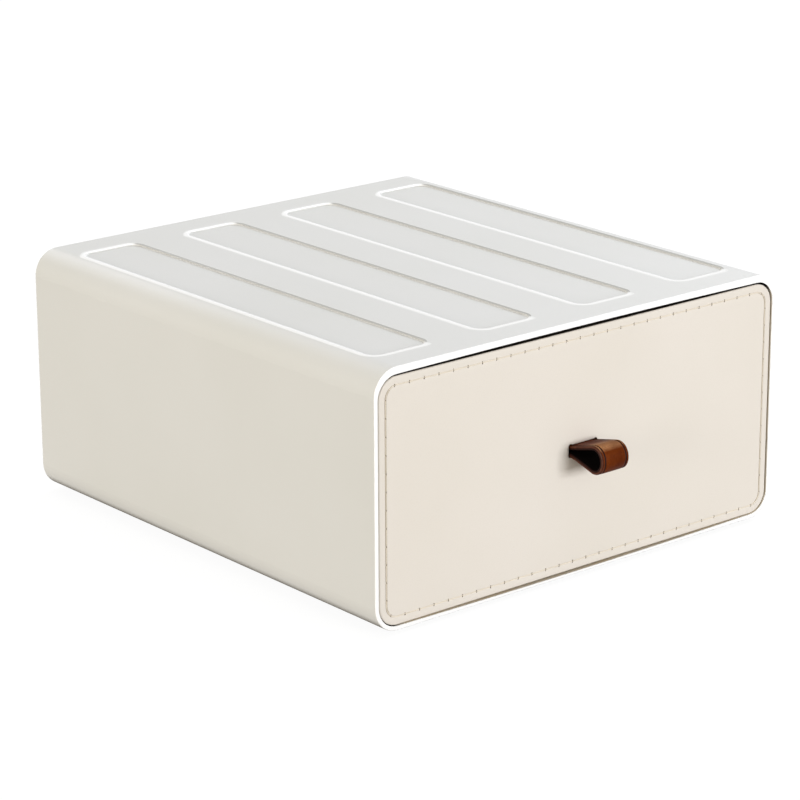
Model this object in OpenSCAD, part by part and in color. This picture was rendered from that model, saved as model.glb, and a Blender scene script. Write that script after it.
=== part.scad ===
// Stackable drawer box. A moulded sleeve with a bowed mouth stands on four runners that nest in
// the recesses of the roof below it. A tray slides out of it on two floor rails. The tray's front
// board is faced in padded, stitched leather, and a leather loop with clamped tails pulls it.
// Millimetres, +Z up, the drawer front faces -Y, and the feet stand on z = 0.

/* [Case] */
// Width of the case, over its side walls
case_w = 264; // [220:1:320]
// Height of the case, without the runners and feet under it
case_h = 130; // [110:1:180]
// Depth of the case, from its front rim to its rear edge
case_d = 278; // [220:1:340]
// Radius of the four long outer edges
case_r = 13.5; // [11:0.5:18]
// Thickness of the side walls
side_wall = 2; // [1.6:0.1:3]
// Thickness of the floor
floor_wall = 2.2; // [1.8:0.1:3]
// Thickness of the roof
roof_wall = 3.6; // [3:0.1:5]
// Rounding of the front and rear outer edges
rim_round = 0.5; // [0.3:0.1:0.9]
// How far the mouth bows up, and down, at the middle of its width
mouth_crown = 0.85; // [0.4:0.05:1.2]
// Depth of the bowed mouth behind the rim
mouth_depth = 16; // [14:0.5:22]

/* [Stacking] */
// Number of recesses across the roof, and of runners below the floor
recess_count = 4; // [3:1:5]
// Width of one recess, at the roof's surface
recess_w = 37.6; // [30:0.2:42]
// Plain roof left in front of the recesses and behind them
recess_margin = 18.4; // [14:0.2:30]
// Corner radius of a recess, at the roof's surface
recess_r = 7.4; // [6:0.2:10]
// Depth of a recess
recess_depth = 1.1; // [1:0.05:1.6]
// Radius of the soft brow round a recess
brow_r = 5; // [4:0.5:8]
// Width of that brow
brow_w = 1.4; // [1:0.1:2]
// Side clearance of a runner in the recess below it
stack_clear = 0.8; // [0.4:0.1:1.5]
// Height of the runners
runner_h = 1.6; // [1.4:0.1:2.5]

/* [Feet] */
// Width of a foot pad
pad_w = 14; // [10:0.5:18]
// Length of a foot pad
pad_l = 26; // [18:1:36]
// Thickness of a foot pad
pad_t = 1.6; // [1.2:0.1:2]
// How far a foot pad stands out of its runner
pad_proud = 0.4; // [0.3:0.1:0.8]
// Distance from the end of a runner to its foot pad
pad_inset = 7; // [5:0.5:20]

/* [Slide] */
// Height of the floor rails
rail_h = 1.2; // [0.9:0.1:2]
// Width of the floor rails
rail_w = 6; // [4:0.5:10]
// Distance from the case's side to the middle of a rail
rail_inset = 33; // [28:1:50]
// Height of the guide ribs on the side walls
guide_h = 0.9; // [0.5:0.1:1.1]
// Width of the guide ribs
guide_w = 5; // [3:0.5:8]
// Running clearance between the tray and its rails
glide = 0.1; // [0.05:0.05:0.3]
// Distance from the front rim to the stop lugs under the roof
stop_setback = 52; // [40:1:80]
// How far the stop lugs hang down from the roof
stop_h = 6.5; // [5.5:0.5:7.5]
// Width of a stop lug, and of the tab that it catches
stop_w = 24; // [16:1:32]
// Distance from the middle of the box to each stop lug
stop_x = 62; // [45:1:75]

/* [Rear panel] */
// Thickness of the rear panel
rear_t = 2; // [1.6:0.1:3]
// How far the rear panel sits in from the rear edge
rear_inset = 0.8; // [0.4:0.1:2]
// How far the ledge in front of the rear panel stands in from the walls
ledge_w = 3.5; // [2.5:0.1:5]
// Thickness of the ledge
ledge_t = 2; // [1.5:0.1:3]
// Width of a snap hook
hook_w = 16; // [10:1:24]

/* [Drawer] */
// Gap round the drawer front, at the ends of the mouth
front_gap = 0.75; // [0.5:0.05:1.2]
// How far the drawer front hangs below the middle of the mouth
front_drop = 0.4; // [0:0.05:0.4]
// How far the drawer front sits in from the rim
face_setback = 0.4; // [0:0.1:1.5]
// Side clearance of the tray in the case
tray_play = 1.4; // [1.2:0.1:2.5]
// Thickness of the tray's walls and floor
tray_wall = 1.8; // [1.4:0.1:2.6]
// Distance from the roof down to the tray's top edge
rim_drop = 9; // [8:0.5:16]
// Clearance behind the tray
rear_play = 5; // [4:0.5:12]
// Thickness of the front board
board_t = 7; // [6.5:0.1:9]
// Thickness of the pad under the leather
facing_pad_t = 1.2; // [0.8:0.1:2]
// Thickness of the leather
leather_t = 1.2; // [0.9:0.1:1.6]
// Rounding of the leather's front edge
leather_round = 0.8; // [0.5:0.1:1.5]
// Distance from the leather's edge to the groove that the stitches lie in
stitch_inset = 4.3; // [3:0.1:7]
// Depth of that groove
groove_depth = 0.3; // [0.2:0.05:0.5]

/* [Pull] */
// Width of the leather loop
strap_w = 17.6; // [12:0.2:26]
// Thickness of the strap
strap_t = 2; // [1.4:0.1:2.2]
// How far the loop stands out in front of the case
strap_reach = 21.8; // [18:0.2:32]
// Outer radius of the loop's nose
loop_r = 6.6; // [5.5:0.1:9]
// Half of the strap's height where it enters the drawer front
strand_half = 2.9; // [2.6:0.05:4]
// Inner radius of the bends behind the board's web
bend_r = 0.8; // [0.5:0.1:1]
// Length of the clamped tails
tail_l = 8; // [6:0.5:12]
// Thickness of the clamp plate
clamp_t = 1.5; // [1:0.1:2]
// Corner radius of the clamp plate
clamp_r = 3; // [1:0.5:5]

/* [Screws] */
// Radius of the front screws' shanks
front_screw_r = 1.45; // [1:0.05:1.9]
// Depth of the front screws in the board
front_screw_bite = 5; // [3:0.5:5.5]
// Distance from the side of the tray to a front screw
front_screw_inset = 28; // [20:1:50]
// Radius of the strap screws' shanks
strap_screw_r = 1.15; // [0.9:0.05:1.4]

/* [Hidden] */
$fn = 96;
over = 1;          // how far a cutter runs past the face that it opens
root = 0.6;        // how far a rib is rooted in its wall
tuck = 0.005;      // how far a line that runs into an arc ends inside it

// Finishes
case_white = [0.93, 0.92, 0.90];
tray_white = [0.92, 0.92, 0.90];
board_grey = [0.62, 0.61, 0.58];
foam_grey = [0.35, 0.35, 0.35];
leather_cream = [0.91, 0.88, 0.82];
leather_tan = [0.45, 0.22, 0.10];
foot_rubber = [0.25, 0.25, 0.25];
screw_steel = [0.70, 0.70, 0.72];

// Case
stand_h = runner_h + pad_proud;
front_y = (strap_reach - case_d) / 2;
back_y = front_y + case_d;
roof_z = stand_h + case_h;
shell_mid = stand_h + case_h / 2;
bore_w = case_w - 2 * side_wall;
bore_h = case_h - floor_wall - roof_wall;
bore_r = case_r - side_wall;
bore_z0 = stand_h + floor_wall;
bore_z1 = bore_z0 + bore_h;
bore_mid = (bore_z0 + bore_z1) / 2;
crown_steps = 24;

// Rear panel and the ledge that it snaps to
panel_y1 = back_y - rear_inset;
panel_y0 = panel_y1 - rear_t;
ledge_y0 = panel_y0 - ledge_t;
panel_fit = 0.15;
field_inset = 16;
field_depth = 0.5;
field_r = 6;
hook_x = 0.3 * case_w;
hook_t = 1.6;
hook_gap = 0.2;
hook_hold = 0.1;
barb_h = 1.6;
barb_l = 2.6;

// Recess section: the brow leaves the roof's surface at an angle of brow_start
brow_start = 4;
recess_pitch = case_w / recess_count;
recess_l = case_d - 2 * recess_margin;
recess_fillet = 0.4;
runner_gap = brow_w + stack_clear;
runner_w = recess_w - 2 * runner_gap;
runner_l = recess_l - 2 * runner_gap;
runner_r = recess_r - runner_gap;
runner_round = 0.5;

// Foot pads
pad_r = 5;
pad_fit = 0.1;
pad_round = 0.4;
pad_x = (recess_count - 1) / 2 * recess_pitch;
pad_y = runner_l / 2 - pad_inset - pad_l / 2;
mid_y = (front_y + back_y) / 2;

// Slide
rail_x = case_w / 2 - rail_inset;
rail_y0 = front_y + mouth_depth + 4;
rail_lead = 6;
guide_z = bore_mid;
lug_y0 = front_y + stop_setback;
lug_t = 3;
lug_y1 = lug_y0 + lug_t;
tab_clear = 1.5;
tab_root = 10;
tab_chamfer = 1;
tab_z1 = bore_z1 - tab_clear;

// Drawer, from the face backwards
face_y = front_y + face_setback;
facing_pad_y = face_y + leather_t;
board_y = facing_pad_y + facing_pad_t;
tray_y0 = board_y + board_t;
tray_y1 = ledge_y0 - rear_play;
front_w = bore_w - 2 * front_gap;
front_h = bore_h - 2 * front_gap;
front_r = bore_r - front_gap;
front_mid = bore_mid - front_drop;
board_w = front_w - 2 * leather_t;
board_h = front_h - 2 * leather_t;
board_r = front_r - leather_t;
skirt_short = 1;
groove_r = 0.7;
skirt_d = leather_t + facing_pad_t + board_t - skirt_short;
tray_w = bore_w - 2 * tray_play;
tray_d = tray_y1 - tray_y0;
tray_r = bore_r - tray_play;
tray_z0 = bore_z0 + rail_h + glide;
tray_z1 = bore_z1 - rim_drop;
tray_h = tray_z1 - tray_z0;

// Screws
screw_fit = 0.05;
front_head_r = 3;
front_head_h = 1.8;
front_hole_r = front_screw_r + 0.35;
front_screw_x = tray_w / 2 - front_screw_inset;
front_screw_low = tray_z0 + tray_r + 14;
front_screw_high = tray_z1 - 16;
strap_head_r = 2.3;
strap_head_h = 1.3;
strap_screw_bite = 1.2;
cross_w = 0.5;

// Pull: the board's web is the skin left in front of its pocket
head_room = 0.3;
pocket_d = strap_t + clamp_t + strap_head_h + head_room;
web_t = board_t - pocket_d;
web_y = board_y + web_t;
pocket_gap = 1;
strap_fit = 0.1;
slot_side = 0.3;
boss_r = 3.4;
clamp_screw_x = strap_w / 2 + boss_r + 1.2;
clamp_w = 2 * (clamp_screw_x + boss_r + 1);
clamp_h = 2 * (strand_half + bend_r + tail_l) + 1;
slot_half = strand_half + strap_fit;
web_back = web_y - face_y;
pass_l = web_back - bend_r;
loop_y = strap_reach + face_setback - loop_r;

// ---- Shared shapes ----

module rounded_rect(w, h, r) {
    square([w - 2 * r, h], center = true);
    square([w, h - 2 * r], center = true);
    for (x = [-1, 1], y = [-1, 1]) translate([x * (w / 2 - r), y * (h / 2 - r)]) circle(r);
}

// The edge of a plate: x runs out from the corner's centre, y up, and the upper edge is rounded
module rounded_edge(r, t, round) {
    square([r, t - round]);
    square([r - round, t]);
    translate([r - round, t - round]) circle(round);
}

// A section carried once round a rounded rectangle in XY: its x runs out from the corner's centre
module edge_ring(w, l, r) {
    for (k = [0:3]) {
        run = (k % 2 == 0 ? l : w) - 2 * r;
        reach = (k % 2 == 0 ? w : l) / 2 - r;
        rotate(90 * k) translate([reach, 0, 0]) {
            rotate([90, 0, 0]) linear_extrude(run, center = true) children();
            translate([0, run / 2, 0]) rotate_extrude(angle = 90) children();
        }
    }
}

// The same, with the middle filled from z = z0 to z = z1
module edge_swept(w, l, r, z0, z1) {
    edge_ring(w, l, r) children();
    translate([r - w / 2, r - l / 2, z0]) cube([w - 2 * r, l - 2 * r, z1 - z0]);
}

// A section drawn in X and Z, pulled along Y
module along_y(y0, y1) {
    translate([0, y1, 0]) rotate([90, 0, 0]) linear_extrude(y1 - y0) children();
}

// A section drawn in Y and Z, pulled along X by w, centred on x
module along_x(x, w) {
    translate([x - w / 2, 0, 0]) rotate([90, 0, 90]) linear_extrude(w) children();
}

// The bore's outline in X and Z, drawn in by inset
module bore_outline(inset) {
    translate([0, bore_mid]) rounded_rect(bore_w - 2 * inset, bore_h - 2 * inset, bore_r - inset);
}

// A cross-recessed pan-head screw: its seat is at the origin and its head towards +Y
module pan_screw(shank_r, shank_l, head_r, head_h) {
    rotate([-90, 0, 0]) difference() {
        union() {
            rotate_extrude() rounded_edge(head_r, head_h, head_h / 2);
            translate([0, 0, -shank_l]) cylinder(shank_l + head_h / 2, r = shank_r);
        }
        for (turn = [0, 90]) rotate(turn)
            translate([-head_r * 0.55, -cross_w / 2, head_h / 2]) cube([head_r * 1.1, cross_w, head_h]);
    }
}

// ---- Case ----

// What rounding takes off an outer edge, in section: y = 0 is the end face
module rim_waste() {
    translate([case_r - rim_round, -rim_round]) difference() {
        square(rim_round + over);
        circle(rim_round);
    }
}

module shell_outside() {
    difference() {
        along_y(front_y, back_y) translate([0, shell_mid]) rounded_rect(case_w, case_h, case_r);
        for (end = [0, 1]) translate([0, end == 0 ? front_y : back_y, shell_mid])
            rotate([end == 0 ? 90 : -90, 0, 0]) edge_ring(case_w, case_h, case_r) rim_waste();
    }
}

// The bow of the mouth: an arc of height mouth_crown over the flat stretch of the bore
module crown_arc() {
    chord = bore_w - 2 * bore_r;
    radius = (chord * chord / 4 + mouth_crown * mouth_crown) / (2 * mouth_crown);
    half_angle = asin(chord / 2 / radius);
    polygon(concat(
        [[chord / 2, -over], [-chord / 2, -over]],
        [for (i = [0:crown_steps]) let (a = half_angle * (2 * i / crown_steps - 1))
            [radius * sin(a), radius * cos(a) - (radius - mouth_crown)]]
    ));
}

module mouth_outline() {
    bore_outline(0);
    translate([0, bore_z1]) crown_arc();
    translate([0, bore_z0]) mirror([0, 1]) crown_arc();
}

module bore() {
    along_y(front_y - over, front_y + mouth_depth) mouth_outline();
    along_y(front_y + mouth_depth, ledge_y0) bore_outline(0);
    along_y(ledge_y0, panel_y0) bore_outline(ledge_w);
    along_y(panel_y0, back_y + over) bore_outline(0);
}

// Section of a recess below the roof: soft brow, upright wall, filleted floor
module recess_section() {
    lip_x = recess_r - brow_w;
    difference() {
        union() {
            translate([0, -recess_depth]) square([lip_x, recess_depth + over]);
            difference() {
                translate([0, -recess_depth]) square([recess_r, recess_depth + over]);
                translate([recess_r + brow_r * sin(brow_start), -brow_r * cos(brow_start)]) circle(brow_r);
            }
        }
        translate([lip_x - recess_fillet, -recess_depth - over]) difference() {
            square(recess_fillet + over);
            translate([0, recess_fillet + over]) circle(recess_fillet);
        }
    }
}

module recesses() {
    for (i = [0:recess_count - 1])
        translate([(i - (recess_count - 1) / 2) * recess_pitch, mid_y, roof_z])
            edge_swept(recess_w, recess_l, recess_r, -recess_depth, over) recess_section();
}

module runners() {
    for (i = [0:recess_count - 1])
        translate([(i - (recess_count - 1) / 2) * recess_pitch, mid_y, stand_h + root]) mirror([0, 0, 1])
            edge_swept(runner_w, runner_l, runner_r, 0, runner_h + root)
                rounded_edge(runner_r, runner_h + root, runner_round);
}

module pad_pockets() {
    for (x = [-1, 1], y = [-1, 1])
        translate([x * pad_x, mid_y + y * pad_y, -over])
            linear_extrude(pad_t + over) rounded_rect(pad_w + 2 * pad_fit, pad_l + 2 * pad_fit, pad_r + pad_fit);
}

module floor_rails() {
    for (x = [-1, 1]) along_x(x * rail_x, rail_w) polygon([
        [rail_y0, bore_z0 - root], [rail_y0, bore_z0], [rail_y0 + rail_lead, bore_z0 + rail_h],
        [ledge_y0, bore_z0 + rail_h], [ledge_y0, bore_z0 - root]
    ]);
}

module side_guides() {
    for (x = [-1, 1]) translate([x * (bore_w / 2 + (root - guide_h) / 2), (rail_y0 + ledge_y0) / 2, guide_z])
        cube([guide_h + root, ledge_y0 - rail_y0, guide_w], center = true);
}

// Lugs under the roof: their sloped front lets the tray's tabs snap past, their rear face stops them
module stop_lugs() {
    for (x = [-1, 1]) along_x(x * stop_x, stop_w) polygon([
        [lug_y0 - stop_h / 2, bore_z1 + root], [lug_y0 - stop_h / 2, bore_z1], [lug_y0, bore_z1 - stop_h],
        [lug_y1, bore_z1 - stop_h], [lug_y1, bore_z1 + root]
    ]);
}

module case_shell() {
    color(case_white) difference() {
        union() {
            difference() {
                shell_outside();
                bore();
            }
            runners();
            floor_rails();
            side_guides();
            stop_lugs();
        }
        recesses();
        pad_pockets();
    }
}

// The hooks of the rear panel pass inside the ledge and catch its front
module snap_hook() {
    top = bore_z1 - ledge_w - hook_gap;
    catch_y = ledge_y0 - hook_hold;
    polygon([
        [panel_y0 + root, top - hook_t], [catch_y - barb_l, top - hook_t], [catch_y - barb_l, top],
        [catch_y, top + barb_h], [catch_y, top], [panel_y0 + root, top]
    ]);
}

module rear_panel() {
    color(case_white) difference() {
        union() {
            along_y(panel_y0, panel_y1) bore_outline(panel_fit);
            for (x = [-1, 1], top = [0, 1])
                translate([0, 0, bore_mid]) mirror([0, 0, top]) translate([0, 0, -bore_mid])
                    along_x(x * hook_x, hook_w) snap_hook();
        }
        along_y(panel_y1 - field_depth, panel_y1 + over) translate([0, bore_mid])
            rounded_rect(bore_w - 2 * field_inset, bore_h - 2 * field_inset, field_r);
    }
}

module foot_pad(x, y) {
    color(foot_rubber) translate([x * pad_x, mid_y + y * pad_y, pad_t]) mirror([0, 0, 1])
        edge_swept(pad_w, pad_l, pad_r, 0, pad_t) rounded_edge(pad_r, pad_t, pad_round);
}

module foot_pad_front_left() foot_pad(-1, -1);
module foot_pad_front_right() foot_pad(1, -1);
module foot_pad_rear_left() foot_pad(-1, 1);
module foot_pad_rear_right() foot_pad(1, 1);

// ---- Drawer ----

// Wall of the tray in section: a floor that turns up through a quarter round, and a full-round rim
module tray_section() {
    difference() {
        union() {
            translate([0, tray_r]) square([tray_r, tray_h - tray_r - tray_wall / 2]);
            intersection() {
                translate([0, tray_r]) circle(tray_r);
                square(tray_r);
            }
        }
        translate([0, tray_r]) square([tray_r - tray_wall, tray_h]);
        translate([0, tray_r]) circle(tray_r - tray_wall);
    }
    translate([tray_r - tray_wall / 2, tray_h - tray_wall / 2]) circle(tray_wall / 2);
}

// Tabs on the rear wall that meet the stop lugs when the drawer is fully open
module stop_tabs() {
    for (x = [-1, 1]) along_x(x * stop_x, stop_w) polygon([
        [tray_y1 - tray_wall, tray_z1 - tab_root], [tray_y1 - tray_wall, tab_z1],
        [tray_y1 - tab_chamfer, tab_z1], [tray_y1, tab_z1 - 2 * tab_chamfer], [tray_y1, tray_z1 - tab_root]
    ]);
}

module front_screw_places() {
    for (x = [-1, 1], z = [front_screw_low, front_screw_high]) translate([x * front_screw_x, 0, z]) children();
}

module drawer_tray() {
    color(tray_white) difference() {
        union() {
            translate([0, (tray_y0 + tray_y1) / 2, tray_z0])
                edge_swept(tray_w, tray_d, tray_r, 0, tray_wall) tray_section();
            stop_tabs();
        }
        front_screw_places() translate([0, tray_y0 - over, 0]) rotate([-90, 0, 0])
            cylinder(tray_wall + 2 * over, r = front_hole_r);
    }
}

module board_outline() {
    translate([0, front_mid]) rounded_rect(board_w, board_h, board_r);
}

// The slot for the strap's tails, in Y and Z from the face, with its rear edges rounded for the bends
module slot_section() {
    translate([-over, -slot_half]) square([web_back + 2 * over, 2 * slot_half]);
    for (side = [0, 1]) mirror([0, side]) difference() {
        translate([pass_l, slot_half - over]) square([bend_r + over, bend_r - strap_fit + over]);
        translate([pass_l, strand_half + bend_r]) circle(bend_r - strap_fit);
    }
}

module strap_slot() {
    translate([0, face_y, bore_mid]) along_x(0, strap_w + 2 * slot_side) slot_section();
}

module clamp_screw_places() {
    for (x = [-1, 1]) translate([x * clamp_screw_x, 0, bore_mid]) children();
}

module front_board() {
    color(board_grey) difference() {
        union() {
            difference() {
                along_y(board_y, tray_y0) board_outline();
                along_y(web_y, tray_y0 + over) translate([0, bore_mid])
                    rounded_rect(clamp_w + 2 * pocket_gap, clamp_h + 2 * pocket_gap, clamp_r + pocket_gap);
            }
            clamp_screw_places() translate([0, web_y - root, 0]) rotate([-90, 0, 0])
                cylinder(strap_t + root, r = boss_r);
        }
        strap_slot();
        clamp_screw_places() translate([0, web_y - strap_screw_bite, 0]) rotate([-90, 0, 0])
            cylinder(strap_t + strap_screw_bite + over, r = strap_screw_r + screw_fit);
        front_screw_places() translate([0, tray_y0 - front_screw_bite - 0.5, 0]) rotate([-90, 0, 0])
            cylinder(front_screw_bite + 0.5 + over, r = front_screw_r + screw_fit);
    }
}

module facing_pad() {
    color(foam_grey) difference() {
        along_y(facing_pad_y, board_y) board_outline();
        strap_slot();
    }
}

// The groove round the facing that the stitches lie in, cut from above
module stitch_groove() {
    groove_corner = front_r - stitch_inset;
    edge_ring(front_w - 2 * stitch_inset, front_h - 2 * stitch_inset, groove_corner)
        translate([groove_corner, skirt_d + groove_r - groove_depth]) circle(groove_r);
}

module leather_facing() {
    color(leather_cream) difference() {
        translate([0, face_y + skirt_d, front_mid]) rotate([90, 0, 0]) difference() {
            edge_swept(front_w, front_h, front_r, skirt_d - leather_t, skirt_d) difference() {
                rounded_edge(front_r, skirt_d, leather_round);
                translate([-over, -over]) square([front_r - leather_t + over, skirt_d - leather_t + over]);
            }
            stitch_groove();
        }
        strap_slot();
    }
}

// ---- Pull ----

// A drop from the slot to the loop's nose: a circle and two lines that run into it from half either side
module drop(r, half) {
    lean = asin((r - tuck) / norm([half, loop_y])) - atan2(half, loop_y);
    touch = [(r - tuck) * sin(lean) - loop_y, (r - tuck) * cos(lean)];
    translate([-loop_y, 0]) circle(r);
    polygon([[0, half], touch, [touch[0], -touch[1]], [0, -half]]);
}

module strap_section() {
    difference() {
        drop(loop_r, strand_half);
        drop(loop_r - strap_t, strand_half - strap_t);
    }
    for (side = [0, 1]) mirror([0, side]) {
        translate([0, strand_half - strap_t]) square([pass_l, strap_t]);
        translate([pass_l, strand_half + bend_r]) intersection() {
            difference() {
                circle(bend_r + strap_t);
                circle(bend_r);
            }
            translate([0, -bend_r - strap_t]) square(bend_r + strap_t);
        }
        translate([web_back, strand_half + bend_r]) square([strap_t, tail_l]);
    }
}

module pull_strap() {
    color(leather_tan) translate([0, face_y, bore_mid]) along_x(0, strap_w) strap_section();
}

module strap_clamp_plate() {
    color(screw_steel) difference() {
        along_y(web_y + strap_t, web_y + strap_t + clamp_t) translate([0, bore_mid])
            rounded_rect(clamp_w, clamp_h, clamp_r);
        clamp_screw_places() translate([0, web_y, 0]) rotate([-90, 0, 0])
            cylinder(strap_t + clamp_t + over, r = strap_screw_r + 2 * screw_fit);
    }
}

module strap_screws() {
    color(screw_steel) clamp_screw_places() translate([0, web_y + strap_t + clamp_t, 0])
        pan_screw(strap_screw_r, strap_t + clamp_t + strap_screw_bite - head_room, strap_head_r, strap_head_h);
}

module front_screws() {
    color(screw_steel) front_screw_places() translate([0, tray_y0 + tray_wall, 0])
        pan_screw(front_screw_r, tray_wall + front_screw_bite, front_head_r, front_head_h);
}

case_shell();
rear_panel();
foot_pad_front_left();
foot_pad_front_right();
foot_pad_rear_left();
foot_pad_rear_right();
drawer_tray();
front_board();
facing_pad();
leather_facing();
pull_strap();
strap_clamp_plate();
strap_screws();
front_screws();
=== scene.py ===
"""Looks of the stackable drawer box: a satin moulded sleeve and tray, a drawer front wrapped in
stitched cream leather, and a pull of waxed brown leather. The values below are in millimetres
where their names or comments don't say otherwise."""
import math

import bmesh
import bpy
from mathutils import Matrix, Vector


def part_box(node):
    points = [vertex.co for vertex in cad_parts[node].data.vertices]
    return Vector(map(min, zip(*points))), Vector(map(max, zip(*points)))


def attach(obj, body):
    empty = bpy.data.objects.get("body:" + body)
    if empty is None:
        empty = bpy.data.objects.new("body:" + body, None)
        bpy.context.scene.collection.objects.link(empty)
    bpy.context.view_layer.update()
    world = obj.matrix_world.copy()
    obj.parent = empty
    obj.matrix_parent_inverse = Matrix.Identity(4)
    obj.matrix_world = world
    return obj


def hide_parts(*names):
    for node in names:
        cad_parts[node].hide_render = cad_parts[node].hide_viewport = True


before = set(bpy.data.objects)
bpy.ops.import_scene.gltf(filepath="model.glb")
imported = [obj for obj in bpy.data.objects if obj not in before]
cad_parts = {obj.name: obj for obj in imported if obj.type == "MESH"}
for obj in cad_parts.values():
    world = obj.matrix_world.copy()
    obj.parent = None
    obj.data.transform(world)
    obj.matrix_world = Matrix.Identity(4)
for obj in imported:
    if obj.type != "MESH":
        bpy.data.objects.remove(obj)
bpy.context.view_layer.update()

MM = 0.001

# Camera: where it stands, in metres, how it is turned, in degrees, and its lens on a 36 mm sensor
CAMERA_PLACE = (-1.0000, -1.1865, 0.5584)
CAMERA_TURN = 39.850
CAMERA_DROP = 17.813
CAMERA_ROLL = -0.232
CAMERA_LENS = 141.62

# Studio, in metres. The lamps: name, azimuth, elevation, distance, size, level and colour
WORLD_LEVEL, WORLD_COLOUR = 0.42, (1.0, 0.96, 0.88, 1.0)
LAMPS = (
    ("key_lamp", 14, 10, 3.0, (1.1, 0.9), 0.61, (0.98, 1.0, 1.05)),
    ("front_lamp", -12, 4, 3.0, (2.4, 1.8), 0.12, (1.0, 1.0, 1.0)),
    ("left_lamp", -87, 9, 4.5, (3.2, 1.3), 0.66, (1.0, 0.95, 0.855)),
    ("right_lamp", 112, 38, 5.0, (3.0, 2.0), 0.52, (0.88, 0.93, 1.02)),
    ("back_lamp", 176, 30, 3.0, (1.6, 0.8), 0.14, (0.96, 0.98, 1.04)),
)
LAMPS_AIM = (0.0, 0.0, 0.066)
FLOOR_REACH = 8.0
FLOOR_DROP = 0.02        # how far the floor lies under the feet, in millimetres
FLOOR_BOUNCE = (0.25, 0.23, 0.20, 1.0)  # what the floor throws back on the object
FLOOR_SHADE = (0.10, 0.10, 0.10, 1.0)   # what it shows of a shadow
FLOOR_GLOW = 0.94

# Case: the outlines that its finish follows
RECESS_PITCH = 66.0
RECESS_W, RECESS_L, RECESS_R = 37.6, 241.2, 7.4
MOUTH_W, MOUTH_H, MOUTH_R = 260.0, 124.2, 11.5
MOUTH_LOW = 4.2          # height of the mouth's lower edge

# Case: where a tone begins and where it is full, as two lengths from the place that is named
LIP_OUTER = (2.6, 2.2)   # outside a recess's outline, for the painted highlight on its lip
LIP_FOOT = (-0.6, -0.4)  # from the roof's height
LIP_LEFT_OF = (2.2, 4.0)  # from the recess's right side, whose lip has no painted highlight
LIP_NARROWS = (7.0, 2.0)  # from the recess's rear end, where the lip's painted highlight is narrower
LIP_REAR_LOSS = 1.7      # how much narrower it is there
WALL_SHADE_TOP = (-0.2, -0.4)  # inside a recess's outline, for the painted shade on its right wall
WALL_SHADE_FOOT = (-1.5, -1.35)
WALL_SHADE_SHARE = 0.6
RIM_FADE = (0.4, 0.2)    # behind the foremost edge, for the painted highlight on the rim's front face
MOUTH_SHADE_OUTER = (1.5, 1.2)   # outside the mouth's outline, for the painted shade on the wall inside the mouth
MOUTH_SHADE_FRONT = (0.4, 0.6)   # behind the foremost edge, for the same wall
MOUTH_SHADE_DEPTH = 9.0          # how far behind the foremost edge that wall reaches
MOUTH_SHADE_SHARE = 0.4          # the least share of painted shade on it, and how much more it may have
MOUTH_SHADE_SPECKS = 60.0
CORNER_SHADE_REACH = (0.87, 0.92)  # share of the way into the two corners where the painted shade is near black
LOW_SHADE_HEIGHT = (5.6, 0.2)  # above the mouth's lower edge, for the painted shade along the case's lower edge
LOW_SHADE_OUTER = (1.5, 1.9)   # outside the mouth's outline, for the same
LOW_SHADE_FADE = 1.4

# Leather facing
CORNER_R = 10.75
LEATHER_T = 1.2
EDGE_R = 0.8
SKIRT_BEVEL = 0.3
CREAM_SKIRT_DEPTH = 3.0       # how deep the skirt below the drawer front stays cream before its painted shade begins
SIDE_FACING = 0.7        # share of an outward way from which it counts to a side
STITCH_INSET = 4.3
STITCH_COUNT = 80
STITCH_START = -0.9      # where the first needle hole lies, from the start of the top straight
GROOVE_HALF = 0.5
GROOVE_DEPTH = 0.16
SEAM_DIP = 0.07          # how far the stitches pull the leather in round their line
SEAM_SPREAD = 1.3
# The lines of the mesh beside the stitch line
SEAM_RINGS = (-2.4, -1.9, -1.4, -1.0, -0.78, -0.62, -0.5, -0.34, -0.17, 0,
              0.17, 0.34, 0.5, 0.62, 0.78, 1.0, 1.4, 2.0, 2.8, 4.0)
NEEDLE_ALONG = 0.34      # half sizes of a needle hole, along the line and across it
NEEDLE_ACROSS = 0.8
NEEDLE_TRIM = 0.4        # share by which a hole reaches less across an upright seam
NEEDLE_DEPTH = 0.8
HOLE_EDGE = 0.05         # where a hole's own finish begins: 0 is its rim and 1 its middle
SLOT_CORNER = 0.8
SLOT_SIDE = 0.35         # how far the slot is wider than the pull, at each end
SLOT_ROOM = 0.05         # how far it is higher than the pull, above and below
SLOT_SHADE_DEPTH = 0.4          # depth at which the painted shade on the slot's wall begins
SLOT_EAR = 0.4           # how far the slot's punched ends stand above it
SLOT_EAR_W = 2.2         # how far they reach in from its ends
SLOT_EAR_RISE = 0.8      # the width over which they rise
SLOT_CORNER_STEPS, SLOT_SIDE_STEPS = 6, 36
# The slot's lips: how far each line of them lies outside the slot, and how deep behind the face
SLOT_LIPS = ((2.6, 0.0), (1.5, 0.03), (0.8, 0.12), (0.35, 0.28), (0.08, 0.55), (0.0, 0.85),
             (0.0, LEATHER_T))
HIDE, HOLE, PAINTED_SHADE, SHADED_SEAM = range(4)  # the leather's finishes, in their order on the mesh

# Foam pad
FOAM_SOFT = 0.35         # share of the pad's thickness that each soft edge takes
FOAM_BEVEL = 0.3         # share of the soft edge at which its middle line lies
FOAM_SLOT_GAP = 0.3      # how far the pad's slot stands back from the leather's

# Thread
THREAD_R = 0.25
THREAD_LIE = 0.08        # depth of the thread's middle behind the face
THREAD_DIVE = 0.75
THREAD_DIVE_RUN = 0.55
THREAD_GAP = 0.1         # how far a stitch ends from the middle of its needle hole
THREAD_SIDES = 12
THREAD_STEPS = 34
THREAD_TWIST = 4.2       # radians of twist for each millimetre
THREAD_LOBE = 0.13

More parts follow.
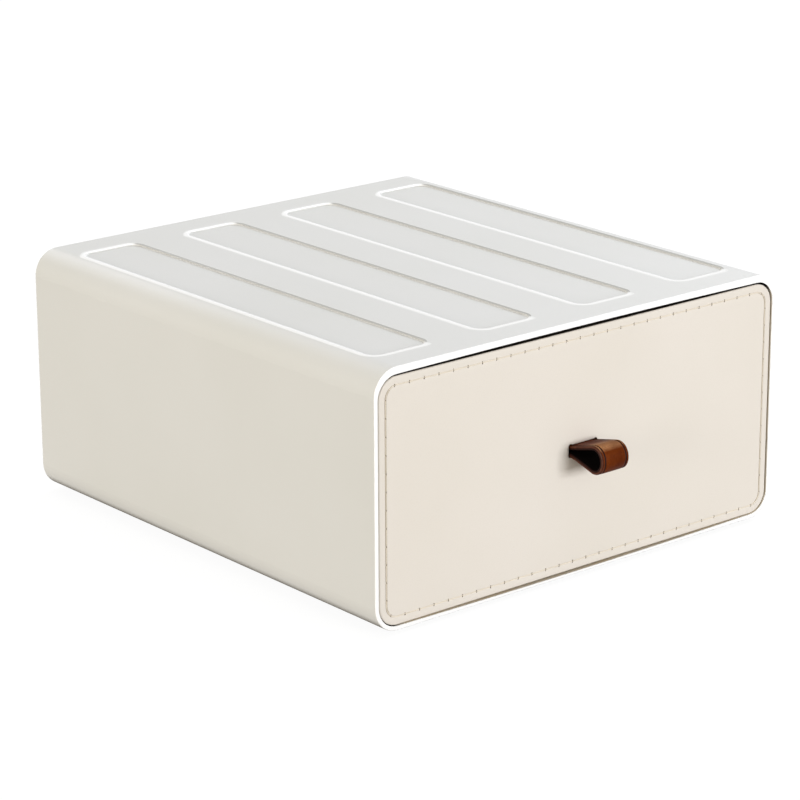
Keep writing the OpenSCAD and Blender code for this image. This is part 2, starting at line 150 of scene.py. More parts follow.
# Pull
STRAP_T = 2.0
LOOP_R = 6.6
STRAND_HALF = 2.9
BEND_R = 0.8
TAIL_L = 8.0
CREASE_INSET = 1.95
CREASE_HALF = 0.44
CREASE_DEPTH = 0.3
STRAP_STEP = 0.35
STRAP_SLUMP = 0.45       # how far the loop's top sinks at its right edge
STRAP_SAG = 1.5          # how far the lower side of its nose hangs down
STRAP_LEAN = 0.9         # how far its nose leans to the right
BEND_STEPS, NOSE_STEPS = 6, 36
LINE_PASSES = 3          # how often the strap's line is smoothed
BEND_HIGHLIGHT_HEIGHT = (4.2, 6.0)  # above the slot's middle, where the painted highlight on the loop's top begins and is full
BEND_HIGHLIGHT_BACK = (15.0, 9.0)   # behind the loop's tip, for the same
BEND_HIGHLIGHT_SHARE = 0.4          # the least share of the painted highlight, and how much more it may have
OUTSIDE, EDGE, CREASE, LINING = range(4)  # the strap's finishes, in their order on the mesh


# ---- Node wiring ----

def tint(red, green, blue):
    """A display colour of 0 to 255 as the linear colour that a shader takes."""
    def linear(value):
        value /= 255
        return value / 12.92 if value <= 0.04045 else ((value + 0.055) / 1.055) ** 2.4
    return (linear(red), linear(green), linear(blue), 1.0)


class Wiring:
    """Adds nodes to one node tree and links them."""

    def __init__(self, tree):
        self.tree = tree

    def put(self, socket, value):
        if isinstance(value, bpy.types.NodeSocket):
            self.tree.links.new(value, socket)
        else:
            socket.default_value = value

    def node(self, kind, inputs=None, **settings):
        node = self.tree.nodes.new(kind)
        for name, value in settings.items():
            setattr(node, name, value)
        for name, value in (inputs or {}).items():
            self.put(node.inputs[name], value)
        return node

    def math(self, operation, *values):
        node = self.node("ShaderNodeMath", operation=operation)
        for socket, value in zip(node.inputs, values):
            self.put(socket, value)
        return node.outputs[0]

    def mix(self, share, low, high):
        """A colour from low to high."""
        node = self.node("ShaderNodeMix", data_type="RGBA")
        for index, value in ((0, share), (6, low), (7, high)):
            self.put(node.inputs[index], value)
        return node.outputs[2]

    def ramp(self, value, low, high):
        """0 where value is under low, 1 where it is over high."""
        node = self.node("ShaderNodeMapRange", {"Value": value, "From Min": low, "From Max": high})
        return node.outputs["Result"]

    def fade(self, value, limits, start=0.0):
        """A ramp between two limits, which are in millimetres from the start."""
        return self.ramp(value, start + limits[0] * MM, start + limits[1] * MM)

    def place(self):
        return self.node("ShaderNodeTexCoord").outputs["Object"]

    def noise(self, scale, detail=2.0, rough=0.5, vector=None):
        inputs = {"Scale": scale, "Detail": detail, "Roughness": rough}
        inputs["Vector"] = vector if vector is not None else self.place()
        return self.node("ShaderNodeTexNoise", inputs).outputs["Fac"]


def effect(name, inputs, outputs):
    """An empty effect group: its wiring, its input sockets by name, and its output node."""
    tree = bpy.data.node_groups.new(name, "ShaderNodeTree")
    for label, value in inputs.items():
        socket = tree.interface.new_socket(label, in_out="INPUT", socket_type="NodeSocketFloat")
        socket.default_value = value
    for label in outputs:
        tree.interface.new_socket(label, in_out="OUTPUT", socket_type="NodeSocketFloat")
    wiring = Wiring(tree)
    return wiring, wiring.node("NodeGroupInput").outputs, wiring.node("NodeGroupOutput").inputs


def moulded_grain():
    """The fine spark-eroded texture of a mould, and the slow change of tone over a moulding."""
    sizes = {"Grain Scale": 2600.0, "Tone Scale": 9.0}
    wiring, given, result = effect("moulded_grain", sizes, ("Height", "Tone"))
    fine = wiring.noise(given["Grain Scale"], detail=3.0, rough=0.6)
    slow = wiring.noise(given["Tone Scale"], detail=2.0, rough=0.55)
    wiring.put(result["Height"], fine)
    wiring.put(result["Tone"], wiring.ramp(slow, 0.32, 0.68))
    return wiring.tree


def hide_grain():
    """Leather grain: pebbles parted by fine valleys, and soft blotches of tone."""
    sizes = {"Pebble Scale": 900.0, "Blotch Scale": 30.0}
    wiring, given, result = effect("hide_grain", sizes, ("Height", "Valley", "Blotch"))
    place = wiring.place()
    stir = wiring.node(
        "ShaderNodeTexNoise", {"Vector": place, "Scale": given["Blotch Scale"], "Detail": 2.0})
    amount = wiring.math("DIVIDE", 0.35, given["Pebble Scale"])
    moved = wiring.node("ShaderNodeVectorMath", operation="SCALE")
    wiring.put(moved.inputs[0], stir.outputs["Color"])
    wiring.put(moved.inputs["Scale"], amount)
    shifted = wiring.node("ShaderNodeVectorMath", operation="ADD")
    wiring.put(shifted.inputs[0], place)
    wiring.put(shifted.inputs[1], moved.outputs[0])
    pebbles = wiring.node(
        "ShaderNodeTexVoronoi",
        {"Vector": shifted.outputs[0], "Scale": given["Pebble Scale"], "Randomness": 0.9},
        feature="DISTANCE_TO_EDGE")
    edge = pebbles.outputs["Distance"]
    dome = wiring.ramp(edge, 0.0, 0.32)
    fine_scale = wiring.math("MULTIPLY", given["Pebble Scale"], 4.0)
    fine = wiring.noise(fine_scale, detail=2.0, vector=place)
    wiring.put(result["Height"], wiring.math("MULTIPLY_ADD", fine, 0.25, dome))
    wiring.put(result["Valley"], wiring.math("SUBTRACT", 1.0, wiring.ramp(edge, 0.02, 0.14)))
    wiring.put(result["Blotch"], wiring.ramp(stir.outputs["Fac"], 0.3, 0.7))
    return wiring.tree


def outline_distance():
    """How far a point lies outside a rounded rectangle round the origin; inside, it is below 0."""
    sizes = {"Across": 0.0, "Along": 0.0, "Width": 0.1, "Length": 0.1, "Radius": 0.01}
    wiring, given, result = effect("outline_distance", sizes, ("Distance",))
    past = []
    for place, size in (("Across", "Width"), ("Along", "Length")):
        reach = wiring.math("SUBTRACT", wiring.math("DIVIDE", given[size], 2.0), given["Radius"])
        past.append(wiring.math("SUBTRACT", wiring.math("ABSOLUTE", given[place]), reach))
    outside = [wiring.math("MAXIMUM", value, 0.0) for value in past]
    squares = [wiring.math("MULTIPLY", value, value) for value in outside]
    corner = wiring.math("SQRT", wiring.math("ADD", *squares))
    inside = wiring.math("MINIMUM", wiring.math("MAXIMUM", *past), 0.0)
    from_core = wiring.math("ADD", corner, inside)
    wiring.put(result["Distance"], wiring.math("SUBTRACT", from_core, given["Radius"]))
    return wiring.tree


EFFECTS = {
    "moulded_grain": moulded_grain(),
    "hide_grain": hide_grain(),
    "outline_distance": outline_distance(),
}


class Finish(Wiring):
    """A material with one Principled shader."""

    def __init__(self, name, **settings):
        self.material = bpy.data.materials.new(name)
        self.material.use_nodes = True
        super().__init__(self.material.node_tree)
        self.shader = self.tree.nodes["Principled BSDF"]
        for label, value in settings.items():
            self.put(self.shader.inputs[label.replace("_", " ")], value)

    def apply_effect(self, name, **inputs):
        group = self.node("ShaderNodeGroup", node_tree=EFFECTS[name])
        for label, value in inputs.items():
            self.put(group.inputs[label.replace("_", " ")], value)
        return group.outputs

    def colour(self, value):
        self.put(self.shader.inputs["Base Color"], value)

    def rough(self, value):
        self.put(self.shader.inputs["Roughness"], value)

    def bump(self, height, depth, strength=1.0):
        """Depth is in millimetres."""
        node = self.node(
            "ShaderNodeBump", {"Height": height, "Strength": strength, "Distance": depth * MM})
        self.put(self.shader.inputs["Normal"], node.outputs["Normal"])


# ---- Finishes ----

def moulded_plastic(name, light, shade, roughness, grain_depth=0.012):
    """Satin moulded plastic that drifts between two close tones."""
    finish = Finish(name, Specular_IOR_Level=0.42)
    grain = finish.apply_effect("moulded_grain")
    finish.colour(finish.mix(grain["Tone"], light, shade))
    finish.rough(finish.math("MULTIPLY_ADD", grain["Tone"], 0.05, roughness))
    finish.bump(grain["Height"], grain_depth)
    return finish.material


def recess_tones(finish, place, middle_y, roof_z):
    """How far a place belongs to the painted highlight on the lip round a roof recess, and how far
    to the painted shade on the recess's right wall."""
    half_pitch = RECESS_PITCH / 2 * MM
    shifted = finish.math("SUBTRACT", place["X"], half_pitch)
    folded = finish.math("WRAP", shifted, half_pitch, -half_pitch)
    recess = finish.apply_effect(
        "outline_distance", Across=folded, Along=finish.math("SUBTRACT", place["Y"], middle_y),
        Width=RECESS_W * MM, Length=RECESS_L * MM, Radius=RECESS_R * MM)["Distance"]
    rear = finish.fade(place["Y"], [RECESS_L / 2 - before for before in LIP_NARROWS], middle_y)
    outside = finish.math("MULTIPLY_ADD", rear, LIP_REAR_LOSS * MM, recess)
    on_lip = finish.math(
        "MULTIPLY", finish.fade(outside, LIP_OUTER), finish.fade(place["Z"], LIP_FOOT, roof_z))
    left_of = finish.fade(folded, [RECESS_W / 2 - before for before in LIP_LEFT_OF])
    # painted highlight on the recess lips, left out on their right sides
    lip_highlight = finish.math("MULTIPLY", on_lip, left_of)
    # painted shade on the recess's right wall
    wall_shade = finish.math(
        "MULTIPLY", finish.math("SUBTRACT", 1.0, left_of), finish.fade(recess, WALL_SHADE_TOP))
    return lip_highlight, finish.math("MULTIPLY", wall_shade, finish.fade(recess, WALL_SHADE_FOOT))


def mouth_tones(finish, place, front_y):
    """How far a place lies outside the mouth, how much painted shade is on it, and how far it
    belongs to the two corners where that painted shade is near black."""
    mouth_middle = (MOUTH_LOW + MOUTH_H / 2) * MM
    up = finish.math("SUBTRACT", place["Z"], mouth_middle)
    mouth = finish.apply_effect(
        "outline_distance", Across=place["X"], Along=up,
        Width=MOUTH_W * MM, Length=MOUTH_H * MM, Radius=MOUTH_R * MM)["Distance"]
    behind = finish.math("SUBTRACT", place["Y"], front_y)
    # painted shade on the wall just inside the mouth, in the gap round the drawer front
    mouth_shade = finish.math("MULTIPLY", finish.fade(mouth, MOUTH_SHADE_OUTER), finish.fade(behind, MOUTH_SHADE_FRONT))
    mouth_shade = finish.math("MULTIPLY", mouth_shade, finish.fade(behind, (MOUTH_SHADE_DEPTH, MOUTH_SHADE_DEPTH / 2)))
    across = finish.math("DIVIDE", place["X"], MOUTH_W / 2 * MM)
    above = finish.math("DIVIDE", up, MOUTH_H / 2 * MM)
    corner_shade = finish.ramp(finish.math("MULTIPLY", across, above), *CORNER_SHADE_REACH)
    share = finish.math("MULTIPLY_ADD", finish.noise(MOUTH_SHADE_SPECKS), MOUTH_SHADE_SHARE, MOUTH_SHADE_SHARE)
    mouth_shade = finish.math("MULTIPLY", mouth_shade, finish.math("MAXIMUM", share, corner_shade))
    return mouth, mouth_shade, corner_shade


def case_plastic(light, shade, highlight_tint, mouth_shade_tint, gap_shade, wall_shade_tint, low_edge_shade_tint):
    """Satin plastic. Its rim and recess lips carry a painted highlight and are glossier, its lower
    edge carries painted shade and is rougher, the recesses' right walls carry painted shade, and
    the wall inside its mouth carries painted shade, near black in two corners."""
    low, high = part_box("case_shell")
    finish = Finish("case_white", Specular_IOR_Level=0.42)
    grain = finish.apply_effect("moulded_grain")
    place = finish.node("ShaderNodeSeparateXYZ", {"Vector": finish.place()}).outputs
    lip_highlight, wall_shade = recess_tones(finish, place, (low.y + high.y) / 2, high.z)
    mouth, mouth_shade, corner_shade = mouth_tones(finish, place, low.y)
    # painted highlight on the rim's front face and on the recess lips, which are also made glossier
    highlight_and_gloss = finish.math("MAXIMUM", lip_highlight, finish.fade(place["Y"], RIM_FADE, low.y))
    # painted shade along the case's lower edge, which is also made rougher there
    low_edge_shade = finish.fade(place["Z"], [MOUTH_LOW + height for height in LOW_SHADE_HEIGHT])
    low_edge_shade = finish.math("POWER", low_edge_shade, LOW_SHADE_FADE)
    low_edge_shade = finish.math("MULTIPLY", low_edge_shade, finish.fade(mouth, LOW_SHADE_OUTER))

    tone = finish.mix(grain["Tone"], light, shade)
    # painted shade on the recesses' right walls
    tone = finish.mix(finish.math("MULTIPLY", wall_shade, WALL_SHADE_SHARE), tone, wall_shade_tint)
    tone = finish.mix(low_edge_shade, tone, low_edge_shade_tint)
    tone = finish.mix(highlight_and_gloss, tone, highlight_tint)
    # painted shade in the gap inside the mouth, near black in two corners
    finish.colour(finish.mix(mouth_shade, tone, finish.mix(corner_shade, mouth_shade_tint, gap_shade)))
    satin = finish.math("MULTIPLY_ADD", grain["Tone"], 0.04, 0.36)
    satin = finish.math("MULTIPLY_ADD", low_edge_shade, 0.5, satin)
    finish.rough(finish.math("MULTIPLY_ADD", highlight_and_gloss, -0.16, satin))
    finish.bump(grain["Height"], 0.012)
    return finish.material


def closed_foam():
    """Thin grey foam with fine closed cells."""
    finish = Finish("closed_foam", Roughness=0.95, Specular_IOR_Level=0.2)
    cells = finish.node("ShaderNodeTexVoronoi", {"Vector": finish.place(), "Scale": 2200.0})
    finish.colour(finish.mix(cells.outputs["Distance"], tint(112, 112, 112), tint(70, 70, 71)))
    finish.bump(cells.outputs["Distance"], 0.15)
    return finish.material


def cream_leather():
    """Fine-grained cream leather with a soft sheen."""
    finish = Finish("cream_leather", Specular_IOR_Level=0.38)
    hide = finish.apply_effect("hide_grain", Pebble_Scale=1500.0, Blotch_Scale=14.0)
    tone = finish.mix(hide["Blotch"], tint(230, 223, 213), tint(227, 220, 209))
    valleys = finish.math("MULTIPLY", hide["Valley"], 0.10)
    finish.colour(finish.mix(valleys, tone, tint(205, 194, 178)))
    finish.rough(finish.math("MULTIPLY_ADD", hide["Valley"], 0.12, 0.5))
    finish.bump(hide["Height"], 0.018)
    return finish.material


def painted_skirt_shade():
    """Painted shade: the leather's turned-back side made near black and waxed, so that the gaps
    round the drawer front and in the pull's slot look dark.
    """
    finish = Finish("painted_skirt_shade", Specular_IOR_Level=0.25)
    streaks = finish.noise(500.0, detail=3.0, rough=0.6)
    finish.colour(finish.mix(streaks, tint(22, 17, 14), tint(40, 31, 24)))
    finish.rough(finish.math("MULTIPLY_ADD", streaks, 0.2, 0.5))
    finish.bump(streaks, 0.04)
    return finish.material


def needle_hole():
    """The shaded inside of a needle hole."""
    finish = Finish("needle_hole", Roughness=0.9, Specular_IOR_Level=0.1)
    hole_mottle = finish.noise(1800.0)
    finish.colour(finish.mix(hole_mottle, tint(150, 138, 124), tint(112, 102, 90)))
    return finish.material


def painted_seam_shade():
    """Painted shade in the seam's upright grooves."""
    finish = Finish("painted_seam_shade", Roughness=0.6, Specular_IOR_Level=0.25)
    finish.colour(finish.mix(finish.noise(900.0), tint(186, 168, 138), tint(160, 142, 112)))
    return finish.material


def waxed_thread():
    """Cream waxed thread: fine fibres run along its strands."""
    finish = Finish("waxed_thread", Roughness=0.6, Specular_IOR_Level=0.35, Sheen_Weight=0.15)
    fibre = finish.noise(5200.0, detail=3.0)
    finish.colour(finish.mix(fibre, tint(236, 228, 212), tint(222, 211, 192)))
    finish.bump(fibre, 0.03)
    return finish.material


def waxed_leather():
    """Brown pull-up leather, darker where it is oily, with a painted highlight on the top of its
    loop near the nose.
    """
    low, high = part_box("pull_strap")
    finish = Finish("waxed_leather", Specular_IOR_Level=0.03)
    hide = finish.apply_effect("hide_grain", Pebble_Scale=1300.0, Blotch_Scale=150.0)
    cloud = finish.ramp(finish.noise(95.0, detail=4.0, rough=0.6), 0.35, 0.68)
    tone = finish.mix(cloud, tint(88, 34, 4), tint(112, 50, 9))
    place = finish.node("ShaderNodeSeparateXYZ", {"Vector": finish.place()}).outputs
    # painted highlight on the top of the loop, near its nose
    top = finish.fade(place["Z"], BEND_HIGHLIGHT_HEIGHT, (low.z + high.z) / 2)
    bend = finish.math("MULTIPLY", top, finish.fade(place["Y"], BEND_HIGHLIGHT_BACK, low.y))
    share = finish.math("MULTIPLY_ADD", cloud, BEND_HIGHLIGHT_SHARE, BEND_HIGHLIGHT_SHARE)
    tone = finish.mix(finish.math("MULTIPLY", bend, share), tone, tint(196, 142, 96))
    finish.colour(finish.mix(finish.math("MULTIPLY", hide["Valley"], 0.45), tone, tint(44, 14, 3)))
    finish.rough(finish.math("MULTIPLY_ADD", hide["Blotch"], 0.12, 0.38))
    finish.bump(hide["Height"], 0.03)
    return finish.material


def burnished_edge():
    """The painted and rubbed edge of the brown leather."""
    finish = Finish("burnished_edge", Specular_IOR_Level=0.2)
    streaks = finish.noise(420.0, detail=3.0, rough=0.65)
    finish.colour(finish.mix(finish.ramp(streaks, 0.3, 0.7), tint(62, 26, 12), tint(92, 48, 28)))
    finish.rough(finish.math("MULTIPLY_ADD", streaks, 0.2, 0.35))
    finish.bump(streaks, 0.05)
    return finish.material


def pressed_crease():
    """The dark line that a hot iron presses along the brown leather's edges."""
    finish = Finish("pressed_crease", Roughness=0.6, Specular_IOR_Level=0.12)
    finish.colour(finish.mix(finish.noise(700.0), tint(26, 7, 3), tint(42, 13, 6)))
    return finish.material


def suede_lining():
    """The near-black nap inside the loop, made darker still as painted shade for the loop's inside.
    """
    finish = Finish("suede_lining", Roughness=0.95, Specular_IOR_Level=0.05)
    nap = finish.noise(2400.0, detail=4.0, rough=0.7)
    finish.colour(finish.mix(nap, tint(5, 3, 3), tint(16, 8, 6)))
    finish.bump(nap, 0.08)
    return finish.material


def foot_rubber():
    """Matt grey rubber."""
    finish = Finish("foot_rubber", Specular_IOR_Level=0.3)
    grain = finish.apply_effect("moulded_grain", Grain_Scale=1500.0, Tone_Scale=60.0)
    finish.colour(finish.mix(grain["Tone"], tint(72, 72, 73), tint(60, 60, 62)))
    finish.rough(finish.math("MULTIPLY_ADD", grain["Tone"], 0.08, 0.78))
    finish.bump(grain["Height"], 0.04)
    return finish.material


def zinc_plate(name, streak_scale):
    """Zinc-plated steel with fine streaks."""
    finish = Finish(name, Metallic=1.0)
    stretched = finish.node(
        "ShaderNodeMapping", {"Vector": finish.place(), "Scale": (0.08, 1.0, 1.0)})
    streaks = finish.noise(streak_scale, detail=3.0, rough=0.6, vector=stretched.outputs["Vector"])
    finish.colour(finish.mix(streaks, tint(172, 173, 176), tint(205, 206, 208)))
    finish.rough(finish.math("MULTIPLY_ADD", streaks, 0.2, 0.26))
    finish.bump(streaks, 0.01)
    return finish.material


# ---- Mesh helpers ----

def ring(bm, points):
    """The vertices of one closed line of points."""
    return [bm.verts.new(point) for point in points]


def band(bm, first, second, pick=None):
    """Quads between two closed rings of as many points. pick gives each quad's material by its
    place."""
    for i, here in enumerate(first):
        j = (i + 1) % len(first)
        face = bm.faces.new((here, first[j], second[j], second[i]))
        face.material_index = pick(i) if pick else 0


def plate(bm, *rings):
    """Fills the flat stretch between closed rings."""
    edges = [bm.edges.get((loop[i - 1], loop[i])) for loop in rings for i in range(len(loop))]
    bmesh.ops.triangle_fill(bm, use_beauty=True, use_dissolve=False, edges=edges)


def piece(name, bm, materials, body, sharp=40):
    """Turns a mesh into a named piece that rides on a body."""
    bmesh.ops.recalc_face_normals(bm, faces=bm.faces)
    mesh = bpy.data.meshes.new(name)
    bm.to_mesh(mesh)
    bm.free()
    mesh.shade_smooth()
    mesh.set_sharp_from_angle(angle=math.radians(sharp))
    for material in materials:
        mesh.materials.append(material)
    made = bpy.data.objects.new(name, mesh)
    bpy.context.scene.collection.objects.link(made)
    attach(made, body)
    return made


def smooth(share):
    """A share from 0 to 1 that starts and ends softly."""
    share = min(max(share, 0.0), 1.0)
    return share * share * (3 - 2 * share)


# ---- Leather facing ----

class Facing:
    """The drawer front's leather face: places on it go by a length along the stitch line, an inset
    from its edge and a depth behind its face, all in millimetres."""

    def __init__(self):
        low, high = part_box("leather_facing")
        self.middle = (low + high) / 2
        self.face_y = low.y
        self.skirt = (high.y - low.y) / MM
        self.core_w = (high.x - low.x) / MM - 2 * CORNER_R
        self.core_h = (high.z - low.z) / MM - 2 * CORNER_R
        self.line_r = CORNER_R - STITCH_INSET
        self.bend = self.line_r * math.pi / 2
        self.pitch = (2 * (self.core_w + self.core_h) + 4 * self.bend) / STITCH_COUNT
        low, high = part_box("pull_strap")
        self.pull_z = (low.z + high.z) / 2
        self.slot_w = (high.x - low.x) / 2 / MM + SLOT_SIDE
        self.slot_h = STRAND_HALF + SLOT_ROOM

    def walk(self, length):
        """The nearest point of the core, and the way outwards, clockwise from the top left."""
        length %= self.pitch * STITCH_COUNT
        for side in range(4):
            span, other = self.core_w, self.core_h
            if side % 2:
                span, other = other, span
            along = Vector((math.cos(side * math.pi / 2), -math.sin(side * math.pi / 2)))
            outward = Vector((-along.y, along.x))
            start = outward * other / 2 - along * span / 2
            if length <= span:
                return start + along * length, outward
            length -= span
            if length <= self.bend:
                turn = length / self.line_r
                return start + along * span, outward * math.cos(turn) + along * math.sin(turn)
            length -= self.bend
        return self.walk(0.0)

    def at(self, length, inset, depth):
        """The place at a length, an inset and a depth."""
        core, outward = self.walk(length)
        place = core + outward * (CORNER_R - inset)
        return Vector((self.middle.x + place.x * MM, self.face_y + depth * MM,
                       self.middle.z + place.y * MM))

    def stations(self):
        """Lengths along the line, with how far each is from the nearest needle hole."""
        half = NEEDLE_ALONG / 2
        close = (-0.8, -0.5, -NEEDLE_ALONG, -half, 0, half, NEEDLE_ALONG, 0.5, 0.8)
        gap = self.pitch - 2 * close[-1]
        offsets = list(close) + [close[-1] + gap * step / 6 for step in range(1, 6)]
        return [(STITCH_START + stitch * self.pitch + offset, min(abs(offset), self.pitch - offset))
                for stitch in range(STITCH_COUNT) for offset in offsets]

    def profile(self):
        """Inset and depth of the rings, from the rear edge over the rounded front edge to the
        field."""
        rings = [(SKIRT_BEVEL, self.skirt), (0.0, self.skirt - SKIRT_BEVEL), (0.0, CREAM_SKIRT_DEPTH)]
        for step in range(7):
            angle = math.radians(15 * step)
            rings.append((EDGE_R * (1 - math.cos(angle)), EDGE_R * (1 - math.sin(angle))))
        return rings + [(STITCH_INSET + across, 0.0) for across in SEAM_RINGS]

    def hole_share(self, length, inset, away):
        """1 in the middle of a needle hole, 0 at its rim, and below 0 outside it."""
        upright = abs(self.walk(length)[1].x)
        reach = NEEDLE_ACROSS * (1 - NEEDLE_TRIM * upright)
        return 1 - ((inset - STITCH_INSET) / reach) ** 2 - (away / NEEDLE_ALONG) ** 2

    def sunk(self, length, inset, away):
        """How deep the seam lies at a length, an inset and a distance from the nearest needle
        hole."""
        across = inset - STITCH_INSET
        if inset < EDGE_R:
            return 0.0
        upright = abs(self.walk(length)[1].x)
        depth = SEAM_DIP * math.exp(-(across / SEAM_SPREAD) ** 2)
        depth += GROOVE_DEPTH * (1 + upright) * math.sqrt(max(0.0, 1 - (across / GROOVE_HALF) ** 2))
        return depth + NEEDLE_DEPTH * math.sqrt(max(0.0, self.hole_share(length, inset, away)))


def slot_loop(facing, grow, depth):
    """A rounded rectangle round the pull's slot, grown by some millimetres."""
    half_w, half_h, corner = facing.slot_w, facing.slot_h, SLOT_CORNER + grow
    points = []
    for quarter, (x_side, z_side) in enumerate(((1, 1), (-1, 1), (-1, -1), (1, -1))):
        centre = Vector((x_side * (half_w - SLOT_CORNER), z_side * (half_h - SLOT_CORNER)))
        for step in range(SLOT_CORNER_STEPS + 1):
            angle = math.pi / 2 * (quarter + step / SLOT_CORNER_STEPS)
            points.append(centre + corner * Vector((math.cos(angle), math.sin(angle))))
    loop = []
    for i, point in enumerate(points):
        loop.append(point)
        if i % (SLOT_CORNER_STEPS + 1) == SLOT_CORNER_STEPS:
            following = points[(i + 1) % len(points)]
            loop += [point.lerp(following, step / SLOT_SIDE_STEPS)
                     for step in range(1, SLOT_SIDE_STEPS)]
    for point in loop:
        end = smooth((abs(point.x) - half_w + SLOT_EAR_W) / SLOT_EAR_RISE)
        point.y += SLOT_EAR * end * smooth(point.y / half_h)
    return [Vector((facing.middle.x + point.x * MM, facing.face_y + depth * MM,
                    facing.pull_z + point.y * MM)) for point in loop]


def leather_facing(facing, leather, hole, gap_shade, seam_shade_finish):
    """The leather: a skirt round the board, a rounded edge, a sewn seam, and lips pressed in round
    the slot."""
    bm = bmesh.new()
    stations = facing.stations()
    profile = facing.profile()
    rings = []
    for inset, depth in profile:
        rings.append(ring(bm, [
            facing.at(s, inset, depth + facing.sunk(s, inset, away)) for s, away in stations]))
    for k in range(len(rings) - 1):
        inset = (profile[k][0] + profile[k + 1][0]) / 2
        on_side = profile[k + 1][1] >= EDGE_R

        def finish_at(i, inset=inset, deepest=profile[k][1], on_side=on_side):
            length = stations[i][0]
            away = (stations[i][1] + stations[(i + 1) % len(stations)][1]) / 2
            outward = facing.walk(length)[1]
            # painted shade: the skirt is near black on its top and sides, and on its bottom only
            # deeper in
            if on_side:
                return PAINTED_SHADE if deepest > CREAM_SKIRT_DEPTH or outward.y > -SIDE_FACING else HIDE
            if facing.hole_share(length, inset, away) > HOLE_EDGE:
                return HOLE
            # painted shade in the grooves of the upright seams, not the level ones
            in_groove = abs(inset - STITCH_INSET) < GROOVE_HALF
            return SHADED_SEAM if in_groove and abs(outward.x) > SIDE_FACING else HIDE

        band(bm, rings[k], rings[k + 1], finish_at)
    inner_rear = ring(bm, [facing.at(s, LEATHER_T, facing.skirt) for s, away in stations])
    inner_front = ring(bm, [facing.at(s, LEATHER_T, LEATHER_T) for s, away in stations])
    band(bm, rings[0], inner_rear)
    band(bm, inner_rear, inner_front)
    slot = [ring(bm, slot_loop(facing, grow, depth)) for grow, depth in SLOT_LIPS]
    for first, second, (grow, depth) in zip(slot, slot[1:], SLOT_LIPS[1:]):
        # painted shade on the slot's deeper walls
        band(bm, first, second, lambda i: PAINTED_SHADE if depth > SLOT_SHADE_DEPTH else HIDE)
    plate(bm, rings[-1], slot[0])
    plate(bm, inner_front, slot[-1])
    made = piece("facing_leather", bm, [leather, hole, gap_shade, seam_shade_finish], "drawer")
    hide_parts("leather_facing")
    return made


def foam_pad(facing, foam):
    """The thin foam between the leather and the board, with soft edges and a slot for the pull."""
    low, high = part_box("facing_pad")
    inset = CORNER_R - ((high.x - low.x) / MM - facing.core_w) / 2
    front, back = ((y - facing.face_y) / MM for y in (low.y, high.y))
    soft = (back - front) * FOAM_SOFT
    bevel = soft * FOAM_BEVEL
    lengths = [length for length, away in facing.stations()][::3]
    edge = [(inset + soft, front), (inset + bevel, front + bevel), (inset, front + soft),
            (inset, back - soft), (inset + bevel, back - bevel), (inset + soft, back)]
    bm = bmesh.new()
    rings = [ring(bm, [facing.at(length, *place) for length in lengths]) for place in edge]
    slot = [ring(bm, slot_loop(facing, FOAM_SLOT_GAP, depth)) for depth in (front, back)]
    for first, second in zip(rings, rings[1:]):
        band(bm, first, second)
    band(bm, *slot)
    plate(bm, rings[0], slot[0])
    plate(bm, rings[-1], slot[1])
    made = piece("foam_pad", bm, [foam], "drawer")
    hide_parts("facing_pad")
    return made


def facing_thread(facing, thread):
    """One twisted stitch from each needle hole to the next."""
    bm = bmesh.new()
    for stitch in range(STITCH_COUNT):
        start = STITCH_START + stitch * facing.pitch
        places = []
        for step in range(THREAD_STEPS + 1):
            even = step / THREAD_STEPS
            eased = (even + (1 - math.cos(math.pi * even)) / 2) / 2
            run = THREAD_GAP + eased * (facing.pitch - 2 * THREAD_GAP)
            near_end = min(run, facing.pitch - run)
            depth = THREAD_LIE + THREAD_DIVE * (1 - smooth(near_end / THREAD_DIVE_RUN))
            places.append((start + run, facing.at(start + run, STITCH_INSET, depth)))
        rings = []
        for i, (length, centre) in enumerate(places):
            ahead = places[min(i + 1, THREAD_STEPS)][1] - places[max(i - 1, 0)][1]
            outward = facing.walk(length)[1]
            side = Vector((outward.x, 0, outward.y))
            lift = ahead.normalized().cross(side)
            points = []
            for k in range(THREAD_SIDES):
                angle = 2 * math.pi * k / THREAD_SIDES
                lobe = 1 + THREAD_LOBE * math.cos(3 * angle - THREAD_TWIST * (length - start))
                way = side * math.cos(angle) + lift * math.sin(angle)
                points.append(centre + THREAD_R * MM * lobe * way)
            rings.append(ring(bm, points))
        for first, second in zip(rings, rings[1:]):
            band(bm, first, second)
        bm.faces.new(rings[0])
        bm.faces.new(rings[-1])
    return piece("facing_thread", bm, [thread], "drawer", sharp=80)


# ---- Pull ----

